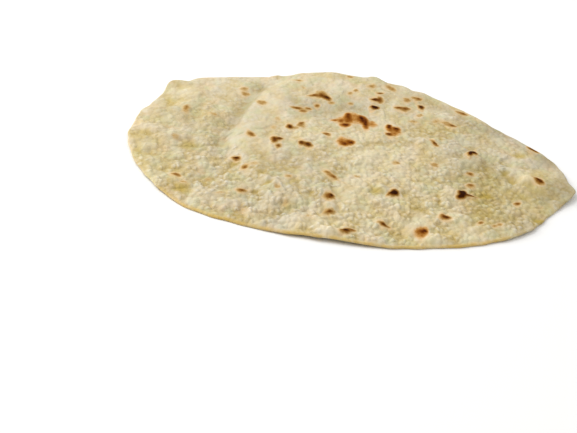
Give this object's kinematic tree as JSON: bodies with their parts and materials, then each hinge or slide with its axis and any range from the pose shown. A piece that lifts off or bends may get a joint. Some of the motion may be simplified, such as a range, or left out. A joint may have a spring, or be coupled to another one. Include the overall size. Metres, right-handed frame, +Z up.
{
  "type": "lavash flatbread",
  "caption": "Thin round soft flatbread with a blistered, toasted upper face, a shallow air pocket and a wavy rim, lying flat to be torn, filled or rolled.",
  "frame": {"origin": "on the floor, under the middle of the bread's box", "axes": "+Z up out of the toasted face, +X towards the pointed corner of the outline, -Y towards the front edge"},
  "size_m": [0.3048, 0.2942, 0.0081],
  "materials": {
    "crust": "soft matte baked crust, cream with a light dusting of flour and toasted brown blisters"
  },
  "bodies": {
    "root": {"lavash": "crust"}
  },
  "joints": []
}
